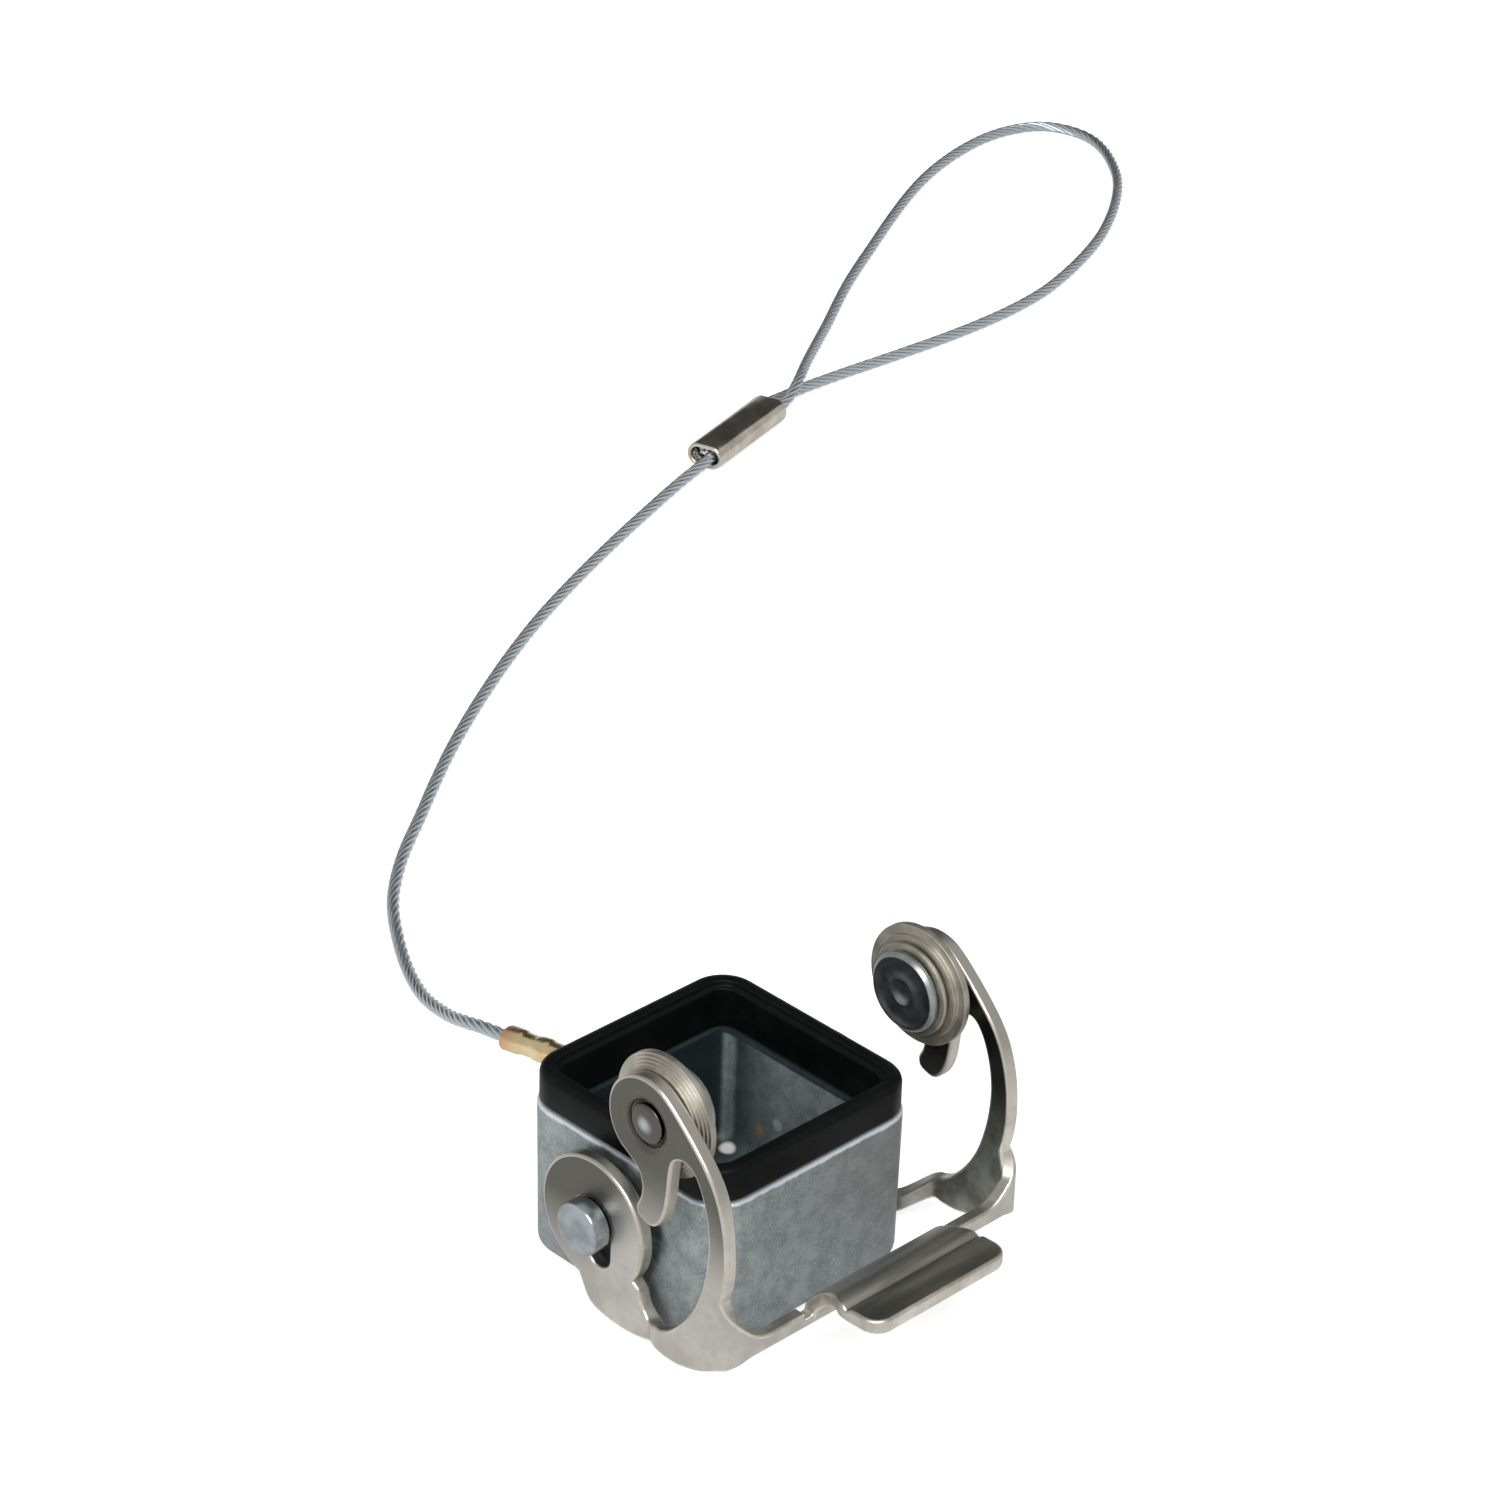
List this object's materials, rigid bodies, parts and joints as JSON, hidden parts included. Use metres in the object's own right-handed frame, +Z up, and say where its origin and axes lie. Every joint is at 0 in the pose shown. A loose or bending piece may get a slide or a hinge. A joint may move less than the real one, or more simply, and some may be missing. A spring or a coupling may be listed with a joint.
{
  "type": "connector protection cover",
  "caption": "Square metal protective cover with rim gasket, sprung locking lever on side studs and a wire rope lanyard ending in a crimped loop.",
  "frame": {"origin": "centre of the cup's underside, which the cover stands on", "axes": "+Z up out of the cup's mouth; X along the lever's pivot axis; -Y towards the thumb tab; the lanyard leaves towards +Y"},
  "size_m": [0.251, 0.2027, 0.0337],
  "materials": {
    "grey_casting": "satin paint on a die casting",
    "black_rubber": "smooth moulded",
    "zinc_steel": "bluish zinc plate",
    "nickel_steel": "warm satin nickel plate",
    "brass": "bare crimped brass",
    "wire_rope": "stranded wire"
  },
  "bodies": {
    "cover": {"cover_housing": "grey_casting", "rim_gasket": "black_rubber", "pivot_stud_left": "zinc_steel", "pivot_stud_right": "zinc_steel", "rope_terminal": "brass", "lanyard_rope": "wire_rope", "rope_ferrule": "nickel_steel"},
    "lever": {"locking_lever": "nickel_steel", "guide_washer_left": "zinc_steel", "guide_washer_right": "zinc_steel", "roller_rivet_left": "zinc_steel", "roller_rivet_right": "zinc_steel"},
    "roller_left": {"guide_roller_left": "nickel_steel"},
    "roller_right": {"guide_roller_right": "nickel_steel"}
  },
  "joints": [
    {"name": "lever_pivot", "type": "hinge", "parent": "cover", "child": "lever", "pos_m": [0, 0, 0.0104], "axis": [1, 0, 0], "range_deg": [-46, 4]},
    {"name": "roller_left_spin", "type": "hinge", "parent": "lever", "child": "roller_left", "pos_m": [-0.0163, -0.0098, 0.0275], "axis": [1, 0, 0], "continuous": true},
    {"name": "roller_right_spin", "type": "hinge", "parent": "lever", "child": "roller_right", "pos_m": [0.0163, -0.0098, 0.0275], "axis": [1, 0, 0], "continuous": true}
  ]
}
